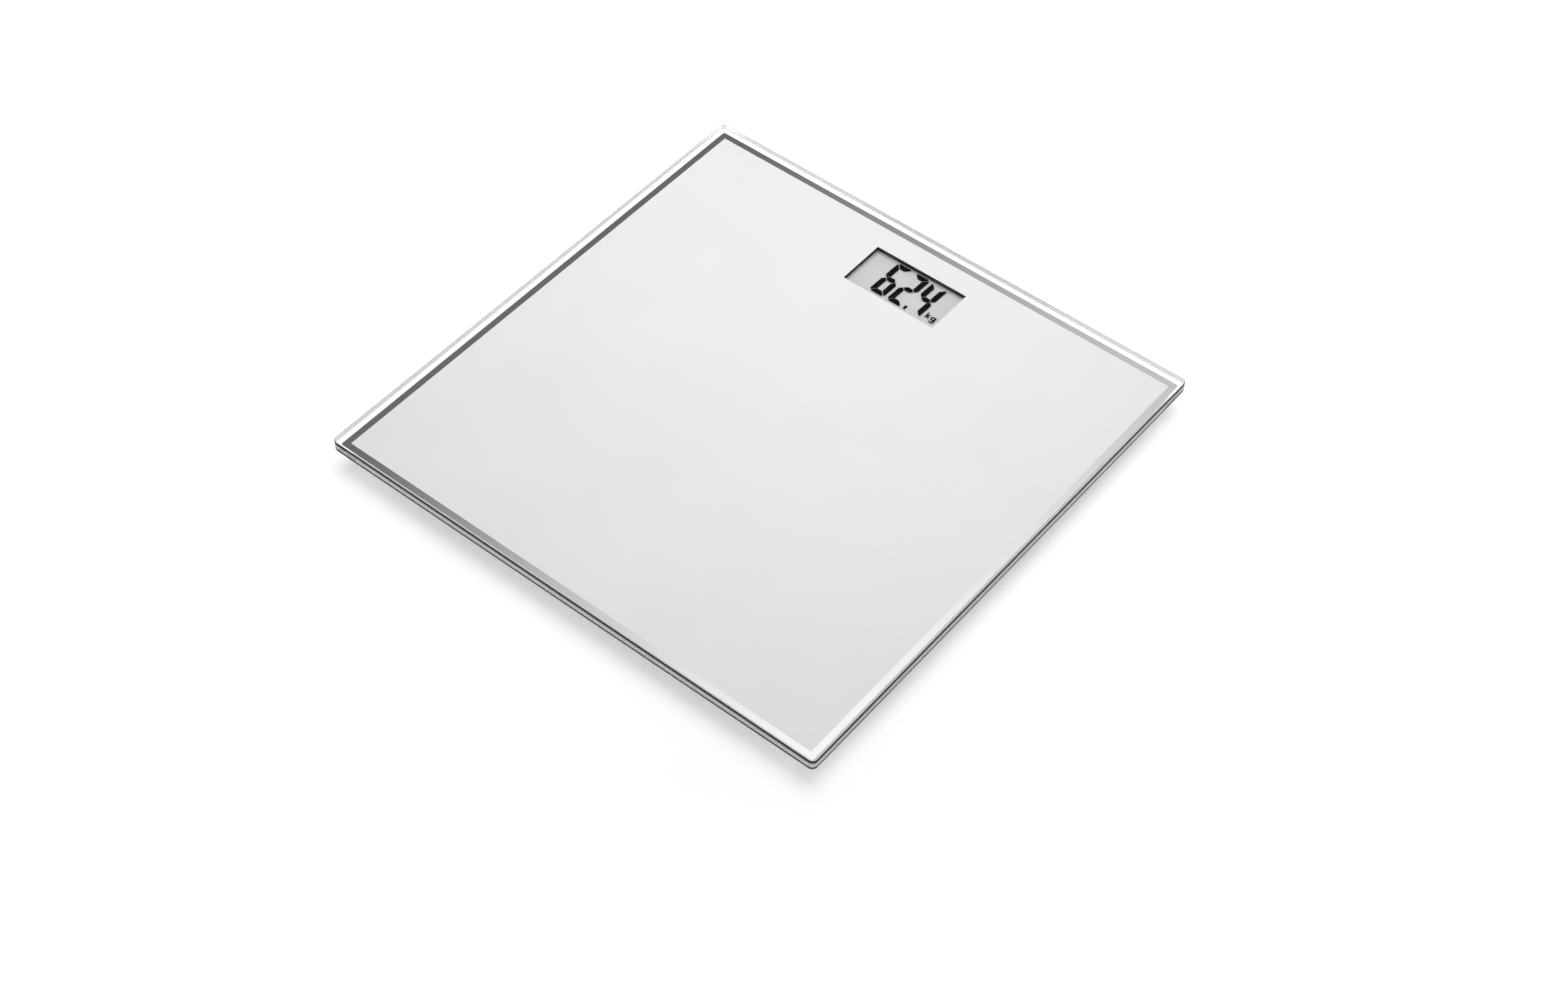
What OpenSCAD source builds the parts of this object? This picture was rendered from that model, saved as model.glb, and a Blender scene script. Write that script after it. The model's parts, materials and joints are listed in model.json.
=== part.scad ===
// Digital glass scale: a square glass platform on four load-cell feet, with its display housing.
// +Z is up and +Y runs to the rear, where the display is. The origin is the middle of the plane
// that the foot pads stand on. All sizes are in millimetres.

/* [Platform] */
// Side of the square glass platform
platform_w = 300; // [296:1:320]
// Thickness of the glass
glass_t = 6; // [5:0.5:8]
// Height from the foot pads to the top of the glass
total_h = 18; // [17.5:0.5:22]
// Corner radius of the glass
corner_r = 3; // [3:0.5:12]
// Width of the ground arris along the glass edges
arris = 0.5; // [0.3:0.1:1.2]
// Width of clear glass between the mirror band and the edge
clear_w = 3; // [1:0.5:6]
// Width of the mirror band
mirror_w = 3.5; // [2:0.5:8]

/* [Display] */
// Distance from the platform's centre to the window's centre
window_y = 115.4; // [114:0.1:117]
// Width of the display window
window_w = 57; // [54:0.2:57]
// Depth of the display window
window_d = 29.2; // [27.6:0.2:29.2]
// Depth from the underside of the glass to the face of the display
lcd_recess = 2.5; // [2.2:0.1:2.7]
// Height of a digit
digit_h = 24.8; // [20:0.1:25.2]
// Width of a digit, without its slant
digit_w = 9.45; // [8:0.05:9.5]
// Distance from one digit to the next
digit_pitch = 11.3; // [10.5:0.1:11.4]
// Slant of the digits in degrees
slant = 1.5; // [0:0.1:6]
// Width of a digit's bars
bar_w = 3.1; // [2:0.1:3.4]
// Reading on the display, as three figures before the unit, in tenths
reading = 624; // [100:1:999]

/* [Housing] */
// Width of the display housing
housing_w = 124; // [124:1:130]
// Depth of the display housing, front to rear
housing_d = 48; // [48:0.5:50]
// Wall thickness of the moulded parts
wall = 1.2; // [1:0.1:1.4]

/* [Feet] */
// Distance from the platform's centre to a foot's centre, along X and along Y
foot_at = 115; // [112:0.5:118]
// Side of a square foot housing
foot_housing_w = 46; // [46:0.5:50]
// Radius of a foot
foot_r = 19; // [17:0.5:19.2]
// Side of a load cell
cell_w = 34; // [30:0.5:36]

/* [Hidden] */
$fn = 48;
tiny = 0.02;
film_t = 0.1;
tape_t = 0.4;

// Levels, from the glass down
z_glass = total_h - glass_t;
z_film = z_glass - film_t;
z_mount = z_film - tape_t;

// Field and mirror band
mirror_out = platform_w / 2 - clear_w;
field_out = mirror_out - mirror_w;
field_r = 0.3;
mirror_r = corner_r - 2;

// Display stack
roof_t = 1;
pane_t = 0.7;
crystal_t = 0.05;
reflector_t = 0.15;
z_lcd = z_glass - lcd_recess;
z_crystal = z_lcd - pane_t - crystal_t;
z_rear_pane = z_crystal - pane_t;
z_reflector = z_rear_pane - reflector_t;
lcd_w = 60;
lcd_front = window_y - 17.1;
lcd_rear = window_y + 16.9;
lcd_ledge = 2.5;
lip_w = 1.6;
seal_w = 1;

// Digits: place of the first figure's lower left corner, and the spaces between bars
digit_x = -15.1;
digit_y = window_y - 10.65;
bar_gap = 0.28;
corner_cut = 1.5;

// Housing and cover
housing_h = 8.3;
housing_y = window_y + 0.4;
housing_r = 4;
cover_t = 1.2;
z_cover = z_mount - housing_h;
z_cover_in = z_cover + cover_t;
rib_w = 1;

// Screws that hold the cover, [x, y from the housing's centre]
screw_spots = [[-55, -19.5], [-55, 19.5], [55.5, -19.5], [29.5, 19.5]];
screw_r = 0.95;
screw_head_r = 2.1;
screw_head_h = 1;
screw_len = 4.6;
boss_r = 2.6;
cover_boss_r = 3;
cover_boss_h = 1;

// Circuit board
pcb_t = 1;
z_pcb = z_cover_in + 1.6;
pcb_left = -50;
pcb_right = 33.4;
pcb_y = housing_y - 0.5;
pcb_d = 34;
post_r = 1.5;

// Coin cell, its pocket and its cover
coin_r = 10;
coin_t = 3.2;
coin_x = 47.3;
coin_y = housing_y + 2;
z_coin = z_cover_in + 0.2;
pocket_r = coin_r + 0.3;
pocket_w = 26.4;
pocket_d = 24;
pocket_h = 4.2;
door_w = 22.4;
door_tongue_w = 24;
door_slot_gap = 0.2;
door_front = housing_y - 11.7;
door_rear = housing_y + housing_d / 2;
door_lip = 0.5;
contact_t = 0.25;

// Unit button and its switch
button_x = -42;
button_r = 4;
button_flange_r = 5;
button_gap = 0.2;
button_proud = 0.5;
switch_w = 6;
plunger_r = 1.5;

// Feet, from the housing down to the pad
foot_housing_h = 7.7;
foot_housing_r = 7;
foot_lip_h = 1;
foot_gap = 0.6;
z_foot_housing = z_mount - foot_housing_h;
z_foot_lip = z_foot_housing + foot_lip_h;
flange_r = 20.8;
flange_t = 1;
stem_r = 6;
cell_t = 2;
cell_slot = 2;
tongue_w = 13;
z_cell = z_mount - 4.5;
z_flange = z_foot_lip + 0.1;
rail_w = 3.6;
rail_gap = 6;
pad_r = 15.5;
pad_t = 1.9;
pad_recess = 0.7;
gauge_w = 8;
gauge_d = 6;
gauge_t = 0.6;
ledge_in = cell_w / 2 - 1.4;
ledge_w = 4.9;

// Leads and ducts
wire_r = 0.5;
wire_pitch = 1.2;
lead_z = z_mount - 1.75;
notch_w = 5;
notch_h = 1.2;
bend_r = 4;
lead_start = -foot_at + gauge_w / 2;
front_lead_x = -84;
front_lead_y = housing_y - 12;
left_drop_x = -46;
left_drop_r = 2;
right_drop_x = 31.8;
right_drop_r = 1.5;
duct_w = 7;
duct_h = 3.6;
duct_wall = 0.8;
duct_front = -104;
duct_rear = 92;

glass_colour = [0.82, 0.9, 0.9, 0.35];
field_colour = [0.88, 0.88, 0.88];
mirror_colour = [0.6, 0.6, 0.62];
black_plastic = [0.1, 0.1, 0.11];
white_plastic = [0.86, 0.86, 0.84];
rubber_colour = [0.2, 0.2, 0.2];
steel_colour = [0.7, 0.7, 0.72];
tape_colour = [0.95, 0.95, 0.92];

// ---- shapes that repeat ----

// A rectangle with round corners, centred
module round_rect(w, d, r) {
    square([w - 2 * r, d], center = true);
    square([w, d - 2 * r], center = true);
    for (x = [-1, 1], y = [-1, 1])
        translate([x * (w / 2 - r), y * (d / 2 - r)]) circle(r);
}

// A plate with round corners that stands on z
module plate(w, d, r, z, h) {
    translate([0, 0, z]) linear_extrude(h) round_rect(w, d, r);
}

// A box centred in X and Y that stands on z
module box(w, d, z, h) {
    translate([-w / 2, -d / 2, z]) cube([w, d, h]);
}

// A rod along Z that stands on z
module rod(r, z, h) {
    translate([0, 0, z]) cylinder(r = r, h = h);
}

module at_housing() { translate([0, housing_y, 0]) children(); }
module at_window() { translate([0, window_y, 0]) children(); }
module at_coin() { translate([coin_x, coin_y, 0]) children(); }
module at_button() { translate([button_x, housing_y, 0]) children(); }
module at_screws() { for (p = screw_spots) translate([p.x, housing_y + p.y, 0]) children(); }
module at_foot(sx, sy) { translate([sx * foot_at, sy * foot_at, 0]) children(); }

// ---- platform ----

// Half of the glass's edge, from its middle to its top, as seen across the edge
module glass_section(half, h) {
    polygon([
        [0, 0], [half - arris, 0], [half, arris],
        [half, h - arris], [half - arris, h], [0, h]
    ]);
}

module glass_bar() {
    length = platform_w - 2 * corner_r;
    for (s = [0, 1]) mirror([s, 0, 0])
        translate([0, length / 2, 0]) rotate([90, 0, 0])
            linear_extrude(length) glass_section(platform_w / 2, glass_t);
}

module glass_platform() {
    corner = platform_w / 2 - corner_r;
    color(glass_colour) translate([0, 0, z_glass]) union() {
        glass_bar();
        rotate([0, 0, 90]) glass_bar();
        for (x = [-1, 1], y = [-1, 1]) translate([x * corner, y * corner, 0])
            rotate_extrude() glass_section(corner_r, glass_t);
    }
}

module printed_field() {
    color(field_colour) translate([0, 0, z_film]) linear_extrude(film_t) difference() {
        round_rect(2 * field_out, 2 * field_out, field_r);
        translate([0, window_y]) square([window_w, window_d], center = true);
    }
}

module mirror_border() {
    color(mirror_colour) translate([0, 0, z_film]) linear_extrude(film_t) difference() {
        round_rect(2 * mirror_out, 2 * mirror_out, mirror_r);
        round_rect(2 * field_out, 2 * field_out, field_r);
    }
}

// ---- display housing ----

module housing_tape() {
    tape_inset = 1;
    window_inset = 4;
    color(tape_colour) difference() {
        at_housing() plate(housing_w - 2 * tape_inset, housing_d - 2 * tape_inset,
                           housing_r - tape_inset, z_mount, tape_t);
        at_window() box(window_w + window_inset, window_d + window_inset,
                        z_mount - tape_t, 3 * tape_t);
    }
}

// The slot that a lead passes through in a side wall
module wire_notch() {
    box(4 * wall, notch_w, lead_z - notch_h / 2, notch_h);
}

module display_housing() {
    roof_z = z_mount - roof_t;
    wall_h = roof_z - z_cover_in;
    boss_z = z_cover_in + cover_boss_h;
    rib_d = 4;
    color(black_plastic) difference() {
        union() {
            at_housing() difference() {
                plate(housing_w, housing_d, housing_r, z_cover_in, wall_h + roof_t);
                plate(housing_w - 2 * wall, housing_d - 2 * wall, housing_r - wall,
                      z_cover_in - 1, wall_h + 1);
            }
            at_window() box(window_w + 2 * lip_w, window_d + 2 * lip_w, z_lcd, roof_z - z_lcd + tiny);
            at_screws() rod(boss_r, boss_z, z_mount - boss_z - tiny);
            for (s = [-1, 1]) translate([s * (lcd_w / 2 + rib_w / 2 + 0.1), housing_y - 5, 0])
                box(rib_w, rib_d, z_rear_pane, roof_z - z_rear_pane + tiny);
        }
        at_window() box(window_w, window_d, z_lcd - 1, z_mount - z_lcd + 2);
        at_screws() rod(screw_r + tiny / 2, z_cover_in, screw_len + 0.6);
        for (s = [-1, 1], y = [front_lead_y, foot_at])
            translate([s * housing_w / 2, y, 0]) wire_notch();
        translate([coin_x, door_rear, 0])
            box(door_tongue_w + 4 * door_slot_gap, 4 * wall, z_cover, cover_t + door_slot_gap);
    }
}

module coin_pocket() {
    difference() {
        at_coin() box(pocket_w, pocket_d, z_cover_in - tiny, pocket_h);
        at_coin() rod(pocket_r, z_cover_in - 1, pocket_h + 2);
        translate([coin_x + pocket_r, coin_y, 0]) box(2, pocket_d / 4, z_coin, pocket_h);
    }
}

// The slot that the battery cover slides in: open below, with a lip under its tongues
module door_slot() {
    length = 2 * (door_rear - door_front);
    translate([coin_x, door_rear - door_slot_gap, 0]) {
        box(door_w + 2 * door_slot_gap, length, z_cover - 1, cover_t + 1);
        box(door_tongue_w + 2 * door_slot_gap, length, z_cover + door_lip,
            cover_t - door_lip + door_slot_gap);
    }
}

module bottom_cover() {
    posts = [[pcb_left + 3, -14], [pcb_left + 3, 14], [pcb_right - 3, -14], [pcb_right - 3, 14]];
    recess_z = z_cover + door_lip;
    color(black_plastic) difference() {
        union() {
            at_housing() plate(housing_w, housing_d, housing_r, z_cover, cover_t);
            coin_pocket();
            at_screws() rod(cover_boss_r, z_cover_in - tiny, cover_boss_h + tiny);
            for (p = posts) translate([p.x, pcb_y + p.y, 0])
                rod(post_r, z_cover_in - tiny, z_pcb - z_cover_in + tiny);
        }
        door_slot();
        at_screws() {
            rod(screw_r + 0.2, z_cover - 1, 4);
            rod(screw_head_r + 0.2, z_cover - 1, screw_head_h + 1.1);
        }
        at_button() {
            rod(button_r + button_gap, z_cover - 1, cover_t + 2);
            rod(button_flange_r + button_gap, recess_z, cover_t);
        }
    }
}

module battery_cover() {
    length = door_rear - door_front;
    tongue_z = z_cover + door_lip + 0.1;
    ridge_d = 0.8;
    ridge_h = 0.35;
    color(black_plastic) translate([coin_x, door_front + length / 2, 0]) {
        box(door_w, length, z_cover, cover_t);
        box(door_tongue_w, length, tongue_z, z_cover_in - tongue_z);
        for (i = [0:4]) translate([0, length / 2 - 4 - 2 * i, 0])
            box(door_w / 2, ridge_d, z_cover - ridge_h, ridge_h + tiny);
    }
}

module cover_screws() {
    head_z = z_cover + 0.1;
    color(steel_colour) at_screws() difference() {
        union() {
            rod(screw_head_r, head_z, screw_head_h);
            rod(screw_r, head_z + screw_head_h - tiny, screw_len + tiny);
        }
        for (a = [0, 90]) rotate([0, 0, a]) box(2.4, 0.5, head_z - 0.5, 1);
    }
}

// ---- display ----

module lcd_pane(front, z, h) {
    translate([-lcd_w / 2, front, z]) cube([lcd_w, lcd_rear - front, h]);
}

module lcd_front_glass() {
    color([0.7, 0.75, 0.72, 0.4]) lcd_pane(lcd_front, z_lcd - pane_t, pane_t);
}

module lcd_rear_glass() {
    color([0.7, 0.75, 0.72, 0.4]) lcd_pane(lcd_front + lcd_ledge, z_rear_pane, pane_t);
}

module lcd_seal() {
    front = lcd_front + lcd_ledge;
    color([0.5, 0.5, 0.5]) difference() {
        lcd_pane(front, z_crystal, crystal_t);
        translate([-lcd_w / 2 + seal_w, front + seal_w, z_crystal - 1])
            cube([lcd_w - 2 * seal_w, lcd_rear - front - 2 * seal_w, 2]);
    }
}

module lcd_reflector() {
    color([0.78, 0.78, 0.78]) lcd_pane(lcd_front + lcd_ledge, z_reflector, reflector_t);
}

// Leans a point of a digit to the right by its height
function lean(p) = [p.x + p.y * tan(slant), p.y];
// Turns a bar's outline left to right, or top to bottom, within the digit's box
function flip_x(points) = [for (p = points) [digit_w - p.x, p.y]];
function flip_y(points) = [for (p = points) [p.x, digit_h - p.y]];

// The top bar, an upside-down trapezium with its outer corners cut
bar_top = [
    [bar_w + bar_gap, digit_h - bar_w],
    [(corner_cut + bar_gap) / 2, digit_h - (corner_cut - bar_gap) / 2],
    [corner_cut, digit_h], [digit_w - corner_cut, digit_h],
    [digit_w - (corner_cut + bar_gap) / 2, digit_h - (corner_cut - bar_gap) / 2],
    [digit_w - bar_w - bar_gap, digit_h - bar_w]
];
// The upper left bar, bevelled under the top bar and pointed at the middle
bar_upper_left = [
    [bar_w, digit_h - bar_w - bar_gap],
    [(corner_cut - bar_gap) / 2, digit_h - (corner_cut + bar_gap) / 2],
    [0, digit_h - corner_cut], [0, digit_h / 2 + bar_w / 2 + bar_gap],
    [bar_w / 2, digit_h / 2 + bar_gap], [bar_w, digit_h / 2 + bar_w / 2 + bar_gap]
];
bar_middle = [
    [bar_w / 2 + bar_gap, digit_h / 2], [bar_w + bar_gap, digit_h / 2 + bar_w / 2],
    [digit_w - bar_w - bar_gap, digit_h / 2 + bar_w / 2],
    [digit_w - bar_w / 2 - bar_gap, digit_h / 2],
    [digit_w - bar_w - bar_gap, digit_h / 2 - bar_w / 2],
    [bar_w + bar_gap, digit_h / 2 - bar_w / 2]
];
// The seven bars in the usual order, a to g
BARS = [
    bar_top, flip_x(bar_upper_left), flip_y(flip_x(bar_upper_left)), flip_y(bar_top),
    flip_y(bar_upper_left), bar_upper_left, bar_middle
];
// Bars that are on for each figure, 0 to 9
FIGURES = [
    [0, 1, 2, 3, 4, 5], [1, 2], [0, 1, 3, 4, 6], [0, 1, 2, 3, 6], [1, 2, 5, 6],
    [0, 2, 3, 5, 6], [0, 2, 3, 4, 5, 6], [0, 1, 2], [0, 1, 2, 3, 4, 5, 6], [0, 1, 2, 3, 5, 6]
];

module figure(n) {
    for (i = FIGURES[n]) polygon([for (p = BARS[i]) lean(p)]);
}

module letter_k() {
    stroke = 0.75;
    height = 3.8;
    square([stroke, height]);
    polygon([
        [stroke - tiny, 0.9], [stroke - tiny, 1.9], [1.55, 2.8], [2.6, 2.8],
        [1.6, 1.8], [2.75, 0], [1.8, 0], [1.05, 1.25]
    ]);
}

module letter_g() {
    stroke = 0.75;
    bowl_r = 1.4;
    width = 2.9;
    difference() {
        translate([bowl_r, bowl_r]) circle(bowl_r);
        translate([bowl_r, bowl_r]) circle(bowl_r - stroke);
    }
    translate([width - stroke, -1.1]) square([stroke, 3.9]);
    translate([0.4, -1.6]) square([width - 0.6, stroke]);
}

module lcd_segments() {
    dot_w = 1.5;
    dot_h = 2.6;
    unit_x = digit_x + 34.1;
    unit_y = digit_y + 2.2;
    figures = [floor(reading / 100), floor(reading / 10) % 10, reading % 10];
    color([0.06, 0.06, 0.06]) translate([0, 0, z_crystal]) linear_extrude(crystal_t) {
        for (i = [0:2]) translate([digit_x + i * digit_pitch, digit_y]) figure(figures[i]);
        translate([digit_x + 2 * digit_pitch - 0.8, digit_y])
            polygon([for (p = [[0, 0], [dot_w, 0], [dot_w, dot_h], [0, dot_h]]) lean(p)]);
        translate([unit_x, unit_y]) letter_k();
        translate([unit_x + 3.2, unit_y + 0.1]) letter_g();
    }
}

module lcd_foam() {
    z = z_pcb + pcb_t;
    color([0.3, 0.3, 0.32]) at_window()
        translate([0, 8, 0]) box(48, 8, z, z_reflector - z);
}

module zebra_connector() {
    z = z_pcb + pcb_t;
    color([0.9, 0.55, 0.6]) translate([0, lcd_front + lcd_ledge / 2, 0])
        box(52, lcd_ledge - 0.5, z, z_lcd - pane_t - z);
}

// ---- electronics ----

module main_pcb() {
    w = pcb_right - pcb_left;
    color([0.1, 0.4, 0.2]) translate([pcb_left + w / 2, pcb_y, 0])
        plate(w, pcb_d, 1, z_pcb, pcb_t);
}

module chip_blob() {
    blob_r = 5;
    blob_h = 1.1;
    dome = [for (a = [0:15:90]) [blob_r * cos(a), -blob_h * sin(a)]];
    color([0.08, 0.08, 0.08]) translate([-8, housing_y, z_pcb])
        rotate_extrude() polygon(concat([[0, 0]], dome));
}

// Small parts on the underside of the board: [x, y from the board's middle, width, depth, height]
module pcb_components() {
    parts = [
        [8, 6, 2, 1.25, 0.8], [8, 2, 2, 1.25, 0.8], [12, 6, 1.6, 0.8, 0.5], [12, 2, 1.6, 0.8, 0.5],
        [8, -4, 3.2, 1.6, 1.2], [15, -8, 5, 3.2, 1.1], [-22, 8, 2, 1.25, 0.8],
        [-22, 4, 2, 1.25, 0.8], [-24, -6, 3.2, 2.5, 1], [-30, 9, 1.6, 0.8, 0.5], [22, 4, 3.5, 2.8, 1.1]
    ];
    color([0.55, 0.45, 0.3]) at_housing() for (p = parts)
        translate([p[0], p[1], 0]) box(p[2], p[3], z_pcb - p[4], p[4]);
}

module unit_switch_body() {
    h = 1.2;
    color(steel_colour) at_button() difference() {
        box(switch_w, switch_w, z_pcb - h, h);
        rod(plunger_r + 0.1, z_pcb - h - 1, 1.9);
    }
}

module switch_plunger() {
    z = z_cover + door_lip + 0.6;
    color([0.3, 0.3, 0.3]) at_button() rod(plunger_r, z, 0.9);
}

module unit_button() {
    flange_z = z_cover + door_lip + 0.05;
    flange_t = 0.55;
    color(white_plastic) at_button() {
        difference() {
            rod(button_r, z_cover - button_proud, flange_z + flange_t - z_cover + button_proud);
            rod(button_r - 1.2, z_cover - button_proud - 1, 1.2);
        }
        rod(button_flange_r, flange_z, flange_t);
    }
}

module coin_cell() {
    rim = 0.3;
    cap_r = coin_r - 1.6;
    color(steel_colour) at_coin() {
        rod(coin_r, z_coin, coin_t - rim);
        rod(cap_r, z_coin + coin_t - rim - tiny, rim + tiny);
    }
}

module battery_contact_positive() {
    strip_w = 5;
    top_z = z_cover_in + pocket_h - tiny;
    color([0.8, 0.75, 0.55]) translate([coin_x + coin_r + 0.02, coin_y - strip_w / 2, 0]) {
        translate([0, 0, z_coin + 0.4]) cube([contact_t, strip_w, top_z - z_coin - 0.4 + contact_t]);
        translate([0, 0, top_z]) cube([2.6, strip_w, contact_t]);
    }
}

module battery_contact_negative() {
    strip_w = 5;
    strip_l = 20;
    dimple_r = 1.6;
    top_z = z_cover_in + pocket_h - tiny;
    z = z_coin + coin_t;
    color([0.8, 0.75, 0.55]) at_coin() {
        translate([-pocket_w / 2 + 0.4, -strip_w / 2, top_z]) cube([strip_l, strip_w, contact_t]);
        translate([0, 0, z]) cylinder(r1 = dimple_r / 2, r2 = dimple_r, h = top_z - z + tiny);
    }
}

// ---- feet ----

module foot_tape(sx, sy) {
    inset = 1;
    w = foot_housing_w - 2 * inset;
    color(tape_colour) at_foot(sx, sy) difference() {
        plate(w, w, foot_housing_r - inset, z_mount, tape_t);
        plate(w - 12, w - 12, 2, z_mount - tape_t, 3 * tape_t);
    }
}

module foot_housing(sx, sy) {
    roof_z = z_cell + cell_t + gauge_t + 0.7;
    inner = foot_housing_w - 2 * wall;
    rail_x = cell_w / 2 - rail_w / 2;
    rail_d = (cell_w - rail_gap) / 2;
    color(white_plastic) at_foot(sx, sy) difference() {
        union() {
            difference() {
                plate(foot_housing_w, foot_housing_w, foot_housing_r, z_foot_housing, foot_housing_h);
                plate(inner, inner, foot_housing_r - wall, z_foot_lip, roof_z - z_foot_lip);
                rod(foot_r + foot_gap, z_foot_housing - 1, foot_lip_h + 2);
            }
            for (x = [-1, 1], y = [-1, 1]) {
                translate([x * rail_x, y * (rail_gap + rail_d) / 2, 0])
                    box(rail_w, rail_d, z_cell + cell_t, roof_z - z_cell - cell_t + tiny);
                translate([x, y, 0] * (ledge_in + ledge_w / 2)) box(ledge_w, ledge_w, z_cell - 1, 1);
            }
        }
        translate([-sx * foot_housing_w / 2, 0, 0]) wire_notch();
    }
}

module load_cell(sx, sy) {
    slot_l = cell_w - 10;
    color(steel_colour) at_foot(sx, sy) difference() {
        plate(cell_w, cell_w, 2, z_cell, cell_t);
        for (x = [-1, 1]) translate([x * (tongue_w + cell_slot) / 2, 0, 0])
            box(cell_slot, slot_l, z_cell - 1, cell_t + 2);
        translate([0, -slot_l / 2, 0]) box(tongue_w + 2 * cell_slot, cell_slot, z_cell - 1, cell_t + 2);
        for (x = [-1, 1]) translate([x * (cell_w / 2 - 2.5), 0, 0])
            box(1, 3, z_cell - 1, cell_t + 2);
    }
}

module strain_gauge(sx, sy) {
    color([0.95, 0.95, 0.9]) at_foot(sx, sy) plate(gauge_w, gauge_d, 1, z_cell + cell_t, gauge_t);
}

module foot(sx, sy) {
    z = pad_t - pad_recess;
    color(white_plastic) at_foot(sx, sy) difference() {
        union() {
            rod(foot_r, z, z_flange - z + tiny);
            rod(flange_r, z_flange, flange_t);
            rod(stem_r, z_flange + flange_t - tiny, z_cell - z_flange - flange_t + tiny);
        }
        rod(pad_r, z - 1, pad_recess + 1);
    }
}

module foot_pad(sx, sy) {
    groove_d = 0.6;
    color(rubber_colour) at_foot(sx, sy) difference() {
        rod(pad_r, 0, pad_t);
        for (r = [5, 10]) difference() {
            rod(r + 0.6, -1, groove_d + 1);
            rod(r - 0.6, -2, groove_d + 3);
        }
    }
}

// ---- leads ----

// A straight wire along X, and one along Y
module wire_x(x0, x1, y) {
    translate([min(x0, x1), y, lead_z]) rotate([0, 90, 0]) cylinder(r = wire_r, h = abs(x1 - x0));
}
module wire_y(x, y0, y1) {
    translate([x, max(y0, y1), lead_z]) rotate([90, 0, 0]) cylinder(r = wire_r, h = abs(y1 - y0));
}

// A quarter turn of wire in the level plane, from angle a round its centre
module wire_turn(x, y, r, a) {
    translate([x, y, lead_z]) rotate([0, 0, a]) rotate_extrude(angle = 90)
        translate([r, 0]) circle(wire_r);
}

// The last turn of a wire, down to the board: it comes in along +X
module wire_drop(x, y, r) {
    foot_z = z_pcb + pcb_t;
    translate([x - r, y, lead_z - r]) rotate([90, 0, 0]) rotate_extrude(angle = 90)
        translate([r, 0]) circle(wire_r);
    translate([x, y, foot_z]) cylinder(r = wire_r, h = lead_z - r - foot_z);
}

// The inner end of a left-hand lead: into the housing and down to the board
module lead_end(from_x, y, drop_x, r) {
    wire_x(from_x, drop_x - r, y);
    wire_drop(drop_x, y, r);
}

// The three wires of a front lead, as they run on the left
module front_lead(drop_x, r) {
    for (o = [-wire_pitch, 0, wire_pitch]) {
        wire_x(lead_start, front_lead_x - bend_r, -foot_at + o);
        wire_turn(front_lead_x - bend_r, -foot_at + bend_r, bend_r - o, -90);
        wire_y(front_lead_x - o, -foot_at + bend_r, front_lead_y - bend_r);
        wire_turn(front_lead_x + bend_r, front_lead_y - bend_r, bend_r + o, 90);
        lead_end(front_lead_x + bend_r, front_lead_y + o, drop_x, r);
    }
}

// The three wires of a rear lead, straight from the foot to the housing
module rear_lead(drop_x, r) {
    for (o = [-wire_pitch, 0, wire_pitch]) lead_end(lead_start, foot_at + o, drop_x, r);
}

module wire_duct(sx) {
    length = duct_rear - duct_front;
    z = z_film - duct_h;
    color(white_plastic) translate([-sx * front_lead_x, (duct_rear + duct_front) / 2, 0]) difference() {
        plate(duct_w, length, 1, z, duct_h);
        box(duct_w - 2 * duct_wall, length + 2, z + duct_wall, duct_h);
    }
}

module lead_front_left() { color("dimgray") front_lead(left_drop_x, left_drop_r); }
module lead_front_right() {
    color("dimgray") mirror([1, 0, 0]) front_lead(-right_drop_x, right_drop_r);
}
module lead_rear_left() { color("dimgray") rear_lead(left_drop_x, left_drop_r); }
module lead_rear_right() {
    color("dimgray") mirror([1, 0, 0]) rear_lead(-right_drop_x, right_drop_r);
}

glass_platform();
printed_field();
mirror_border();
housing_tape();
display_housing();
bottom_cover();
battery_cover();
cover_screws();
lcd_front_glass();
lcd_rear_glass();
lcd_seal();
lcd_segments();
lcd_reflector();
lcd_foam();
zebra_connector();
main_pcb();
chip_blob();
pcb_components();
unit_switch_body();
switch_plunger();
unit_button();
coin_cell();
battery_contact_positive();
battery_contact_negative();
foot_tape(-1, -1);  // foot_tape_front_left
foot_tape(1, -1);  // foot_tape_front_right
foot_tape(-1, 1);  // foot_tape_rear_left
foot_tape(1, 1);  // foot_tape_rear_right
foot_housing(-1, -1);  // foot_housing_front_left
foot_housing(1, -1);  // foot_housing_front_right
foot_housing(-1, 1);  // foot_housing_rear_left
foot_housing(1, 1);  // foot_housing_rear_right
load_cell(-1, -1);  // load_cell_front_left
load_cell(1, -1);  // load_cell_front_right
load_cell(-1, 1);  // load_cell_rear_left
load_cell(1, 1);  // load_cell_rear_right
strain_gauge(-1, -1);  // strain_gauge_front_left
strain_gauge(1, -1);  // strain_gauge_front_right
strain_gauge(-1, 1);  // strain_gauge_rear_left
strain_gauge(1, 1);  // strain_gauge_rear_right
foot(-1, -1);  // foot_front_left
foot(1, -1);  // foot_front_right
foot(-1, 1);  // foot_rear_left
foot(1, 1);  // foot_rear_right
foot_pad(-1, -1);  // foot_pad_front_left
foot_pad(1, -1);  // foot_pad_front_right
foot_pad(-1, 1);  // foot_pad_rear_left
foot_pad(1, 1);  // foot_pad_rear_right
lead_front_left();
lead_front_right();
lead_rear_left();
lead_rear_right();
wire_duct(-1);  // wire_duct_left
wire_duct(1);  // wire_duct_right
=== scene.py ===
"""Looks of the digital glass scale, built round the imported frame. Units are metres, +Z up."""
import json
import math

import bmesh
import bpy
from mathutils import Matrix, Vector


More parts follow.
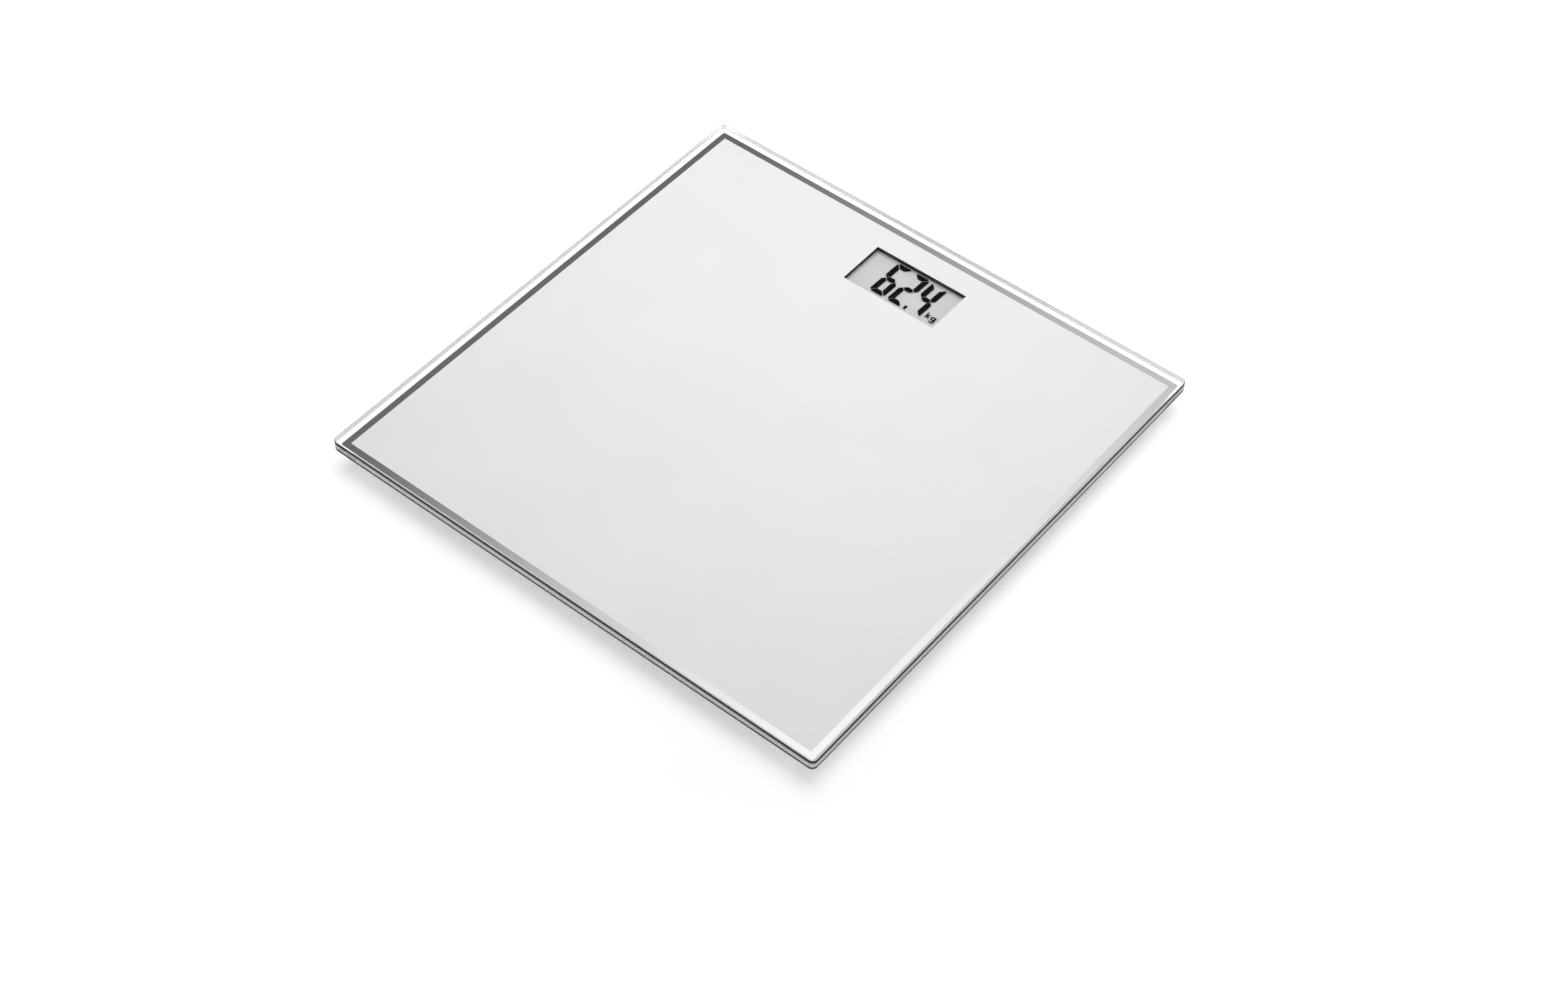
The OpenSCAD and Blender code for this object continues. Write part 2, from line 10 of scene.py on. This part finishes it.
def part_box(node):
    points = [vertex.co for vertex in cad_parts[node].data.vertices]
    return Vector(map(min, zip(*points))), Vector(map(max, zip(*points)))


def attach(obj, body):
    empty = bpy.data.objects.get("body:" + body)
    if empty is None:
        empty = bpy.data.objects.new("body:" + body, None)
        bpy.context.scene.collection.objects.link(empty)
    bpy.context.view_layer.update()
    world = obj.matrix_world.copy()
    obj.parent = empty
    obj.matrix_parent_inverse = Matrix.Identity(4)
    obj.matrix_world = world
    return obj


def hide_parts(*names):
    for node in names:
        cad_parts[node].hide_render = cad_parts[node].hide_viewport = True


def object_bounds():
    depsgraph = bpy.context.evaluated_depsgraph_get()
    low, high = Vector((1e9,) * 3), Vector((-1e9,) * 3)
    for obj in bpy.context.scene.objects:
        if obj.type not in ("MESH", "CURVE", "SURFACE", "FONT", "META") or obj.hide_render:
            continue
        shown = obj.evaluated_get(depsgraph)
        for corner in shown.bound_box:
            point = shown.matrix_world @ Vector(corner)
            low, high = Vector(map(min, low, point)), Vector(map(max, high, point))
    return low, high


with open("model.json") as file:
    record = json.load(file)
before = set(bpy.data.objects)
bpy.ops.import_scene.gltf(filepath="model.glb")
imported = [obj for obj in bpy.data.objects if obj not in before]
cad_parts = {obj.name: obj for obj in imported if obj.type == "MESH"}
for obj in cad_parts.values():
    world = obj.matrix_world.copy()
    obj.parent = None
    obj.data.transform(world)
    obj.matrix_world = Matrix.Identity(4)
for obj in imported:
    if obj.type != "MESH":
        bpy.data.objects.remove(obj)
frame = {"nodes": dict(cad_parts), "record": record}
cad_low, cad_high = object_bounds()

MM = 0.001
record = frame["record"]
NODE_BODY = {n: b for b, nodes in record["behaviour"]["bodies"].items() for n in nodes}
NODE_SLOT = {s["node"]: s["material_slot"] for s in record["subparts"]}
CORNERS = ("front_left", "front_right", "rear_left", "rear_right")
GLASS_LOW, GLASS_HIGH = (corner.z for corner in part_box("glass_platform"))

# ---- node trees ----


class Tree:
    """A material's or a world's node tree, with short ways to add and join nodes."""

    def __init__(self, tree):
        self.tree = tree
        tree.nodes.clear()

    def add(self, kind, inputs=None, **settings):
        node = self.tree.nodes.new(kind)
        for key, value in settings.items():
            setattr(node, key, value)
        for key, value in (inputs or {}).items():
            self.put(node.inputs[key], value)
        return node

    def put(self, socket, value):
        if isinstance(value, bpy.types.NodeSocket):
            self.tree.links.new(value, socket)
        else:
            socket.default_value = value

    def math(self, operation, a, b=0.0):
        node = self.add("ShaderNodeMath", {0: a, 1: b}, operation=operation)
        return node.outputs[0]

    def remap(self, value, low, high, to_low, to_high, smooth=False):
        kind = "SMOOTHSTEP" if smooth else "LINEAR"
        inputs = {"Value": value, "From Min": low, "From Max": high, "To Min": to_low, "To Max": to_high}
        return self.add("ShaderNodeMapRange", inputs, interpolation_type=kind).outputs[0]

    def vary(self, noise, low, high):
        """A noise's usual run, 0.3 to 0.7, stretched to run from low to high."""
        return self.remap(noise, 0.3, 0.7, low, high)

    def place(self):
        """Where a point is on the object, in metres, so that a pattern keeps its real scale."""
        return self.add("ShaderNodeTexCoord").outputs["Object"]

    def noise(self, size, detail=2.0, rough=0.5):
        """Noise from 0 to 1 whose blotches are about size metres across."""
        inputs = {"Vector": self.place(), "Scale": 1 / size, "Detail": detail, "Roughness": rough}
        return self.add("ShaderNodeTexNoise", inputs).outputs["Fac"]

    def tones(self, factor, *stops):
        """A colour that runs through (position, colour) stops as factor goes from 0 to 1."""
        ramp = self.add("ShaderNodeValToRGB", {"Fac": factor})
        marks = ramp.color_ramp.elements
        for i, (position, colour) in enumerate(stops):
            mark = marks[i] if i < 2 else marks.new(position)
            mark.position = position
            mark.color = (*colour, 1)
        return ramp.outputs["Color"]

    def bump(self, height, depth):
        return self.add("ShaderNodeBump", {"Height": height, "Distance": depth}).outputs["Normal"]


def material(name):
    mat = bpy.data.materials.new(name)
    mat.use_nodes = True
    return mat, Tree(mat.node_tree)


def finish_surface(tree, shader):
    tree.add("ShaderNodeOutputMaterial", {"Surface": shader})


def grey(level):
    return (level, level, level)


def shade(colour, factor):
    return tuple(c * factor for c in colour)


# ---- materials ----


def glass_surface(t, tint, mirrored, shadow, roughness, frost=0.0):
    """Glass that bends what the eye sees, and lets lamps and bounced light straight through.

    It mirrors a little less than plain glass when it's met head on, as glass with a coating does.
    Where it's ground, frost is the share of the light that it scatters.
    """
    ior = 1.52
    least_mirrored = 1.05 * ((ior - 1) / (ior + 1)) ** 2
    bent = t.add("ShaderNodeBsdfRefraction", {"Color": tint, "IOR": ior, "Roughness": roughness})
    shine = t.add("ShaderNodeBsdfGlossy", {"Color": mirrored, "Roughness": roughness})
    fresnel = t.add("ShaderNodeFresnel", {"IOR": ior}).outputs[0]
    gloss = t.remap(fresnel, least_mirrored, 1.0, 0.0, 1.0)
    glass = t.add("ShaderNodeMixShader", {0: gloss, 1: bent.outputs[0], 2: shine.outputs[0]})
    if frost:
        dull = t.add("ShaderNodeBsdfTranslucent", {"Color": (*grey(0.95), 1)})
        glass = t.add("ShaderNodeMixShader", {0: frost, 1: glass.outputs[0], 2: dull.outputs[0]})
    clear = t.add("ShaderNodeBsdfTransparent", {"Color": (*shadow, 1)})
    path = t.add("ShaderNodeLightPath")
    lit = t.math("MAXIMUM", path.outputs["Is Shadow Ray"], path.outputs["Is Diffuse Ray"])
    mix = t.add("ShaderNodeMixShader", {0: lit, 1: glass.outputs[0], 2: clear.outputs[0]})
    finish_surface(t, mix.outputs[0])


def clear_glass(name, through, mirrored, shadow):
    mat, t = material(name)
    streaks = t.tones(t.noise(60 * MM, 3), (0.3, shade(through, 0.99)), (0.7, through))
    glass_surface(t, streaks, (*mirrored, 1), shadow, roughness=0.0)
    return mat


def edge_glass(name, side, arris_shade, rim, low, high):
    """The slab's ground edge, which scatters part of the light.

    It's darker next to its arrises, a painted shade that stands for the dark lines the eased arrises show,
    save at a glance or from within.
    """
    painted_shade_starts, painted_shade_full = 2.1 * MM, 1.3 * MM
    glancing = (0.7, 0.85)
    frost_outside, frost_within = 0.4, 0.5
    mirror_outside, mirror_within = 0.5, 0.97
    tint_within = 0.95
    mat, t = material(name)
    z = t.add("ShaderNodeSeparateXYZ", {0: t.place()}).outputs["Z"]
    off_middle = t.math("ABSOLUTE", t.math("SUBTRACT", z, (low + high) / 2))
    half = (high - low) / 2
    # painted shade: the glass's tint darkens next to the arrises and fades back to the rim level at a
    # glance
    painted_shade_near_arris = t.remap(off_middle, half - painted_shade_starts, half - painted_shade_full, 0.0, 1.0, True)
    glance = t.add("ShaderNodeLayerWeight", {"Blend": 0.5}).outputs["Facing"]
    painted_arris_shade = t.remap(glance, *glancing, arris_shade, rim, True)
    tone = t.add("ShaderNodeMix", {0: painted_shade_near_arris, 2: side, 3: painted_arris_shade}, data_type="FLOAT").outputs[0]
    speckle = t.vary(t.noise(1.5 * MM, 4), 0.94, 1.06)
    within = t.add("ShaderNodeLightPath").outputs["Is Transmission Ray"]
    level = t.math("MAXIMUM", t.math("MULTIPLY", tone, speckle), t.math("MULTIPLY", within, tint_within))
    tint = t.add("ShaderNodeCombineColor", {0: level, 1: level, 2: level}).outputs[0]
    shine = t.remap(within, 0.0, 1.0, mirror_outside, mirror_within)
    mirrored = t.add("ShaderNodeCombineColor", {0: shine, 1: shine, 2: shine}).outputs[0]
    off_arris = t.math("SUBTRACT", 1.0, painted_shade_near_arris)
    frost = t.math("MAXIMUM", t.math("MULTIPLY", off_arris, frost_outside),
                   t.math("MULTIPLY", within, frost_within))
    glass_surface(t, tint, mirrored, shadow=grey(0.9), roughness=0.01, frost=frost)
    return mat


def bonded_print(name, colour):
    """Ink on the back of the glass: no gloss of its own, with the faint cloudiness of a screen print."""
    mat, t = material(name)
    cloud = t.tones(t.noise(35 * MM, 4), (0.25, shade(colour, 0.985)), (0.75, shade(colour, 1.01)))
    grain = t.vary(t.noise(0.4 * MM, 2), 0.99, 1.01)
    inked = t.add("ShaderNodeVectorMath", {0: cloud, "Scale": grain}, operation="SCALE")
    finish_surface(t, t.add("ShaderNodeBsdfPrincipled", {
        "Base Color": inked.outputs[0], "Roughness": 0.9, "Specular IOR Level": 0.0}).outputs[0])
    return mat


def silvering(name, colour):
    mat, t = material(name)
    tone = t.tones(t.noise(20 * MM, 3), (0.3, shade(colour, 0.97)), (0.7, colour))
    rough = t.vary(t.noise(8 * MM, 3), 0.015, 0.04)
    finish_surface(t, t.add("ShaderNodeBsdfPrincipled", {
        "Base Color": tone, "Metallic": 1.0, "Roughness": rough}).outputs[0])
    return mat


def moulded(name, colour, grain=0.35 * MM, depth=0.02 * MM, rough=(0.42, 0.58), gloss=0.5):
    """Moulded plastic: a spark-eroded grain, slight flow marbling, and patches that shine a little more."""
    mat, t = material(name)
    tone = t.tones(t.noise(14 * MM, 4), (0.25, shade(colour, 0.93)), (0.75, shade(colour, 1.05)))
    roughness = t.vary(t.noise(5 * MM, 3), *rough)
    finish_surface(t, t.add("ShaderNodeBsdfPrincipled", {
        "Base Color": tone, "Roughness": roughness, "Specular IOR Level": gloss,
        "Normal": t.bump(t.noise(grain, 3, 0.6), depth)}).outputs[0])
    return mat


def rubber(name, colour):
    mat, t = material(name)
    dust = t.tones(t.noise(3 * MM, 5, 0.65), (0.3, colour), (0.8, shade(colour, 1.8)))
    finish_surface(t, t.add("ShaderNodeBsdfPrincipled", {
        "Base Color": dust, "Roughness": t.vary(t.noise(1 * MM, 3), 0.7, 0.9),
        "Specular IOR Level": 0.3, "Normal": t.bump(t.noise(0.25 * MM, 4, 0.7), 0.03 * MM)}).outputs[0])
    return mat


def foam(name, colour):
    """Open foam: small cells, with painted shade in their hollows and painted light on their walls."""
    mat, t = material(name)
    cells = t.add("ShaderNodeTexVoronoi", {"Vector": t.place(), "Scale": 1 / (0.35 * MM)})
    # painted shade: the cells are darker in their hollows and lighter on their walls
    tone = t.tones(cells.outputs["Distance"], (0.0, shade(colour, 0.6)), (0.6, colour))
    finish_surface(t, t.add("ShaderNodeBsdfPrincipled", {
        "Base Color": tone, "Roughness": 0.95, "Specular IOR Level": 0.1,
        "Normal": t.bump(cells.outputs["Distance"], 0.08 * MM)}).outputs[0])
    return mat


def brushed(name, colour, along=(1, 0, 0), rough=(0.22, 0.4)):
    """Rolled or brushed metal, with fine scratches along one direction."""
    mat, t = material(name)
    squeeze = tuple(0.04 if a else 1.0 for a in along)
    lined = t.add("ShaderNodeMapping", {"Vector": t.place(), "Scale": squeeze})
    inputs = {"Vector": lined.outputs[0], "Scale": 1 / (0.12 * MM), "Detail": 4.0}
    lines = t.add("ShaderNodeTexNoise", inputs).outputs["Fac"]
    tone = t.tones(t.noise(6 * MM, 4), (0.3, shade(colour, 0.88)), (0.7, colour))
    finish_surface(t, t.add("ShaderNodeBsdfPrincipled", {
        "Base Color": tone, "Metallic": 1.0, "Roughness": t.vary(lines, *rough),
        "Normal": t.bump(lines, 0.01 * MM)}).outputs[0])
    return mat


def circuit_board(name, mask, copper):
    """Green solder mask with darker bare gaps and slightly raised tracks under it."""
    mat, t = material(name)
    grid = t.add("ShaderNodeTexBrick", {
        "Vector": t.place(), "Scale": 1.0, "Mortar Size": 0.25 * MM, "Mortar Smooth": 0.3,
        "Brick Width": 5.2 * MM, "Row Height": 1.6 * MM})
    tracks = grid.outputs["Fac"]
    tone = t.tones(tracks, (0.0, mask), (1.0, copper))
    finish_surface(t, t.add("ShaderNodeBsdfPrincipled", {
        "Base Color": tone, "Roughness": t.vary(t.noise(1 * MM, 3), 0.28, 0.4),
        "Normal": t.bump(tracks, 0.03 * MM)}).outputs[0])
    return mat


def striped(name, light, dark, pitch, rough):
    """Bands across X at an even pitch, as on a zebra strip or a part with tinned ends."""
    mat, t = material(name)
    where = t.add("ShaderNodeSeparateXYZ", {0: t.place()}).outputs["X"]
    wave = t.math("SINE", t.math("MULTIPLY", where, math.tau / pitch))
    tone = t.tones(t.remap(wave, -0.2, 0.2, 0.0, 1.0), (0.0, dark), (1.0, light))
    finish_surface(t, t.add("ShaderNodeBsdfPrincipled", {
        "Base Color": tone, "Roughness": t.vary(t.noise(0.8 * MM), *rough)}).outputs[0])
    return mat


def pearly(name, colour):
    """The display's reflector: pale grey film with a very fine metallic grain."""
    mat, t = material(name)
    tone = t.tones(t.noise(0.15 * MM, 2), (0.3, shade(colour, 0.97)), (0.7, shade(colour, 1.03)))
    finish_surface(t, t.add("ShaderNodeBsdfPrincipled", {
        "Base Color": tone, "Roughness": 0.6, "Specular IOR Level": 0.2,
        "Normal": t.bump(t.noise(0.2 * MM, 2), 0.004 * MM)}).outputs[0])
    return mat


MATERIALS = {
    "clear_glass": clear_glass("clear_glass", through=grey(0.985), mirrored=grey(0.97), shadow=grey(0.96)),
    # the glass edge's dark tint next to its arrises is painted shade
    "glass_edge": edge_glass("glass_edge", side=0.42, arris_shade=0.05, rim=0.9, low=GLASS_LOW, high=GLASS_HIGH),
    "field_print": bonded_print("field_print", grey(0.81)),
    "mirror_film": silvering("mirror_film", (0.86, 0.86, 0.87)),
    "foam_tape": foam("foam_tape", (0.75, 0.75, 0.72)),
    "black_plastic": moulded("black_plastic", (0.022, 0.022, 0.024)),
    "white_plastic": moulded("white_plastic", (0.7, 0.7, 0.68), rough=(0.38, 0.5)),
    "grey_plastic": moulded("grey_plastic", (0.3, 0.31, 0.32), rough=(0.35, 0.5)),
    "screw_steel": brushed("screw_steel", (0.62, 0.62, 0.64)),
    "lcd_glass": clear_glass("lcd_glass", through=grey(0.99), mirrored=grey(0.4), shadow=grey(0.97)),
    "lcd_seal": moulded("lcd_seal", (0.2, 0.2, 0.2), grain=0.1 * MM, depth=0.005 * MM),
    "lcd_black": moulded("lcd_black", (0.002, 0.002, 0.0022), grain=0.2 * MM, depth=0.001 * MM, gloss=0.0),
    "lcd_reflector": pearly("lcd_reflector", (0.82, 0.82, 0.82)),
    "black_foam": foam("black_foam", (0.03, 0.03, 0.03)),
    "elastomer": striped("elastomer", (0.6, 0.2, 0.24), (0.03, 0.03, 0.03), 0.9 * MM, (0.5, 0.7)),
    "circuit_board": circuit_board("circuit_board", (0.01, 0.09, 0.03), (0.03, 0.2, 0.07)),
    "epoxy": moulded("epoxy", (0.01, 0.01, 0.01), grain=2 * MM, depth=0.05 * MM, rough=(0.1, 0.25)),
    "components": striped("components", (0.6, 0.6, 0.6), (0.12, 0.07, 0.04), 2.1 * MM, (0.3, 0.5)),
    "switch_steel": brushed("switch_steel", (0.6, 0.6, 0.6)),
    "switch_plastic": moulded("switch_plastic", (0.03, 0.03, 0.03)),
    "cell_steel": brushed("cell_steel", (0.68, 0.68, 0.67), rough=(0.15, 0.3)),
    "contact_brass": brushed("contact_brass", (0.72, 0.55, 0.25)),
    "cell_plate_steel": brushed("cell_plate_steel", (0.42, 0.42, 0.43), along=(0, 1, 0)),
    "gauge_coating": moulded("gauge_coating", (0.75, 0.75, 0.7), grain=1.5 * MM, depth=0.1 * MM),
    "pad_rubber": rubber("pad_rubber", (0.02, 0.02, 0.02)),
    "wire_sleeve": moulded("wire_sleeve", (0.03, 0.03, 0.032), grain=0.5 * MM, rough=(0.35, 0.45)),
}

# ---- mesh helpers ----


def place_in_scene(name, data):
    ob = bpy.data.objects.new(name, data)
    bpy.context.scene.collection.objects.link(ob)
    return ob


def link(name, mesh, body, slot_name):
    """Makes a piece of a mesh: on its body, with the material of its record slot."""
    piece = place_in_scene(name, mesh)
    mesh.materials.clear()
    mesh.materials.append(MATERIALS[slot_name])
    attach(piece, body)
    return piece


def smooth(piece):
    """Smooth shading that keeps the large faces flat."""
    for face in piece.data.polygons:
        face.use_smooth = True
    normals = piece.modifiers.new("normals", "WEIGHTED_NORMAL")
    normals.weight = 100
    normals.keep_sharp = True


def rounded_outline(width, depth, radius, steps):
    """Points anticlockwise round a rectangle with round corners, centred on the origin."""
    points = []
    for i, (sx, sy) in enumerate(((1, 1), (-1, 1), (-1, -1), (1, -1))):
        for k in range(steps + 1):
            a = math.pi / 2 * (i + k / steps)
            x = sx * (width / 2 - radius) + radius * math.cos(a)
            y = sy * (depth / 2 - radius) + radius * math.sin(a)
            points.append((x, y))
    return points


def stack(name, rings):
    """A closed mesh through rings of points, each (outline, z), from the bottom up."""
    bm = bmesh.new()
    rows = [[bm.verts.new((x, y, z)) for x, y in outline] for outline, z in rings]
    for lower, upper in zip(rows, rows[1:]):
        for i in range(len(lower)):
            j = (i + 1) % len(lower)
            bm.faces.new((lower[i], lower[j], upper[j], upper[i]))
    bm.faces.new(list(reversed(rows[0])))
    bm.faces.new(rows[-1])
    mesh = bpy.data.meshes.new(name)
    bm.to_mesh(mesh)
    bm.free()
    return mesh


def eased_slab(name, width, depth, radius, z_low, z_high, ease, steps=16, turns=6):
    """A slab with round corners whose top and bottom edges are rounded over by ease."""
    rings = []
    for z, side in ((z_low, -1), (z_high, 1)):
        for k in range(turns + 1):
            a = math.pi / 2 * (k / turns if side > 0 else 1 - k / turns)
            inset = ease * (1 - math.cos(a))
            level = z - side * ease * (1 - math.sin(a))
            outline = rounded_outline(width - 2 * inset, depth - 2 * inset, radius - inset, steps)
            rings.append((outline, level))
    return stack(name, rings)


def softened(node, width=0.25 * MM, segments=2):
    """A copy of a CAD node's shape with its edges eased, which stands for the node."""
    weld = 0.001 * MM
    flat, sharp = math.radians(1), math.radians(35)
    mesh = frame["nodes"][node].data.copy()
    bm = bmesh.new()
    bm.from_mesh(mesh)
    bmesh.ops.remove_doubles(bm, verts=bm.verts, dist=weld)
    bmesh.ops.dissolve_limit(bm, angle_limit=flat, verts=bm.verts, edges=bm.edges)
    bm.to_mesh(mesh)
    bm.free()
    piece = link(node + "_moulding", mesh, NODE_BODY[node], NODE_SLOT[node])
    bevel = piece.modifiers.new("ease", "BEVEL")
    bevel.width = width
    bevel.segments = segments
    bevel.limit_method = "ANGLE"
    bevel.angle_limit = sharp
    bevel.use_clamp_overlap = True
    smooth(piece)
    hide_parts(node)


# ---- pieces ----


def carry_over():
    """Every CAD node gets the material of its slot."""
    for node, ob in frame["nodes"].items():
        ob.data.materials.clear()
        ob.data.materials.append(MATERIALS[NODE_SLOT[node]])


def glass_slab():
    """The platform's glass, with eased arrises. Its underside takes in the face of the print."""
    corner_radius, ease = 3 * MM, 0.35 * MM
    bonded = 0.03 * MM
    low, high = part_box("glass_platform")
    mesh = eased_slab("glass_slab", high.x - low.x, high.y - low.y, corner_radius,
                      low.z - bonded, high.z, ease)
    piece = link("glass_slab", mesh, "root", "clear_glass")
    mesh.materials.append(MATERIALS["glass_edge"])
    for face in mesh.polygons:
        face.material_index = 0 if abs(face.normal.z) > 0.999 else 1
    smooth(piece)
    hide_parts("glass_platform")


def display_pane():
    """The display's front glass. Its underside takes in the face of the segments."""
    corner_radius, ease = 0.4 * MM, 0.1 * MM
    bonded = 0.01 * MM
    low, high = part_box("lcd_front_glass")
    mesh = eased_slab("lcd_front_pane", high.x - low.x, high.y - low.y, corner_radius,
                      low.z - bonded, high.z, ease, steps=3, turns=2)
    middle = (low + high) / 2
    mesh.transform(Matrix.Translation((middle.x, middle.y, 0)))
    piece = link("lcd_front_pane", mesh, "root", "lcd_glass")
    smooth(piece)
    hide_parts("lcd_front_glass")


def mouldings():
    for node in ("display_housing", "bottom_cover", "battery_cover", "unit_button"):
        softened(node)
    for corner in CORNERS:
        softened("foot_housing_" + corner, width=0.4 * MM, segments=3)
        softened("foot_" + corner, width=0.3 * MM, segments=3)
        softened("foot_pad_" + corner, width=0.2 * MM)
    for side in ("left", "right"):
        softened("wire_duct_" + side, width=0.2 * MM)


# ---- stage, light and camera ----


def floor():
    """A white floor that glows with painted light, as if lit from below away from the object, so that it
    stays white to the horizon; the dimmer glow near the object paints shade round it.
    """
    size = 30.0
    glow_starts, glow_full = 0.2, 0.5
    glow_near, glow_far = 0.16, 0.8
    mesh = bpy.data.meshes.new("floor")
    corners = [(-size, -size, 0), (size, -size, 0), (size, size, 0), (-size, size, 0)]
    mesh.from_pydata(corners, [], [(0, 1, 2, 3)])
    ob = place_in_scene("floor", mesh)
    mat, t = material("floor")
    tone = t.tones(t.noise(0.5, 3), (0.3, grey(0.91)), (0.7, grey(0.93)))
    away = t.add("ShaderNodeVectorMath", {0: t.place()}, operation="LENGTH").outputs["Value"]
    # painted light: the floor glows, dimly near the object, which paints shade round it, and brightly
    # further out
    painted_glow = t.remap(away, glow_starts, glow_full, glow_near, glow_far, True)
    matt = t.add("ShaderNodeBsdfDiffuse", {"Color": tone})
    lit = t.add("ShaderNodeEmission", {"Strength": painted_glow})
    both = t.add("ShaderNodeAddShader", {0: matt.outputs[0], 1: lit.outputs[0]})
    finish_surface(t, both.outputs[0])
    mesh.materials.append(mat)


def studio():
    """A soft-edged bright panel overhead, with pale walls round the object, brighter behind it."""
    panel_half_width = (0.38, 0.74)
    panel_half_length = (0.55, 1.2)
    ceiling = 0.15
    wall_front, wall_back, wall_round = 0.5, 0.7, 0.9
    wall_top = (0.3, 0.6)
    front_to_back = (-0.3, 0.5)
    backdrop = 1.05
    to_back_x, to_back_y = -0.64, 0.77
    world = bpy.data.worlds.new("studio")
    bpy.context.scene.world = world
    world.use_nodes = True
    t = Tree(world.node_tree)
    way = t.add("ShaderNodeSeparateXYZ", {0: t.add("ShaderNodeTexCoord").outputs["Generated"]})
    x, y, z = way.outputs
    up = t.math("MAXIMUM", z, 0.02)
    across = t.math("ABSOLUTE", t.math("DIVIDE", x, up))
    along = t.math("ABSOLUTE", t.math("DIVIDE", y, up))
    panel = t.math("MULTIPLY", t.remap(across, *panel_half_width, 1.0, 0.0, True),
                   t.remap(along, *panel_half_length, 1.0, 0.0, True))
    overhead = t.math("ADD", panel, ceiling)
    behind = t.math("ADD", t.math("MULTIPLY", y, to_back_y), t.math("MULTIPLY", x, to_back_x))
    wall = t.remap(behind, *front_to_back, wall_front, wall_back, True)
    rays = t.add("ShaderNodeLightPath").outputs
    wall = t.math("MAXIMUM", wall, t.math("MULTIPLY", rays["Is Diffuse Ray"], wall_round))
    low = t.remap(z, *wall_top, 1.0, 0.0, True)
    light = t.math("ADD", t.math("MULTIPLY", overhead, t.math("SUBTRACT", 1.0, low)),
                   t.math("MULTIPLY", wall, low))
    level = t.math("MAXIMUM", light, t.math("MULTIPLY", rays["Is Camera Ray"], backdrop))
    back = t.add("ShaderNodeBackground", {"Color": (1, 1, 1, 1), "Strength": level})
    t.add("ShaderNodeOutputWorld", {"Surface": back.outputs[0]})


def softbox(name, place, size, watts):
    """A square soft light at place that faces straight down and isn't seen in mirrors or through glass."""
    lamp = bpy.data.lights.new(name, "AREA")
    lamp.energy = watts
    lamp.size = size
    ob = place_in_scene(name, lamp)
    ob.location = place
    ob.visible_glossy = False
    ob.visible_transmission = False


def direction(azimuth, elevation):
    """The way from the object to something at azimuth and elevation; azimuth 0 is the front."""
    a, e = math.radians(azimuth), math.radians(elevation)
    return Vector((math.sin(a) * math.cos(e), -math.cos(a) * math.cos(e), math.sin(e)))


def camera():
    azimuth, elevation = 39.642, 49.48
    distance = 1.2809
    aim = Vector((0.0177, -0.0547, cad_high.z))
    data = bpy.data.cameras.new("camera")
    data.sensor_width = 36.0
    data.lens = 61.26
    data.shift_x = 0.0404
    data.clip_start = 0.01
    data.clip_end = 100
    ob = place_in_scene("camera", data)
    back = direction(azimuth, elevation)
    ob.location = aim + back * distance
    ob.rotation_euler = back.to_track_quat("Z", "Y").to_euler()
    bpy.context.scene.camera = ob


camera()
carry_over()
glass_slab()
display_pane()
mouldings()
floor()
studio()
softbox("key", place=(-0.07, 0.17, 0.5), size=0.5, watts=1.6)
bpy.context.scene.view_settings.view_transform = "Standard"
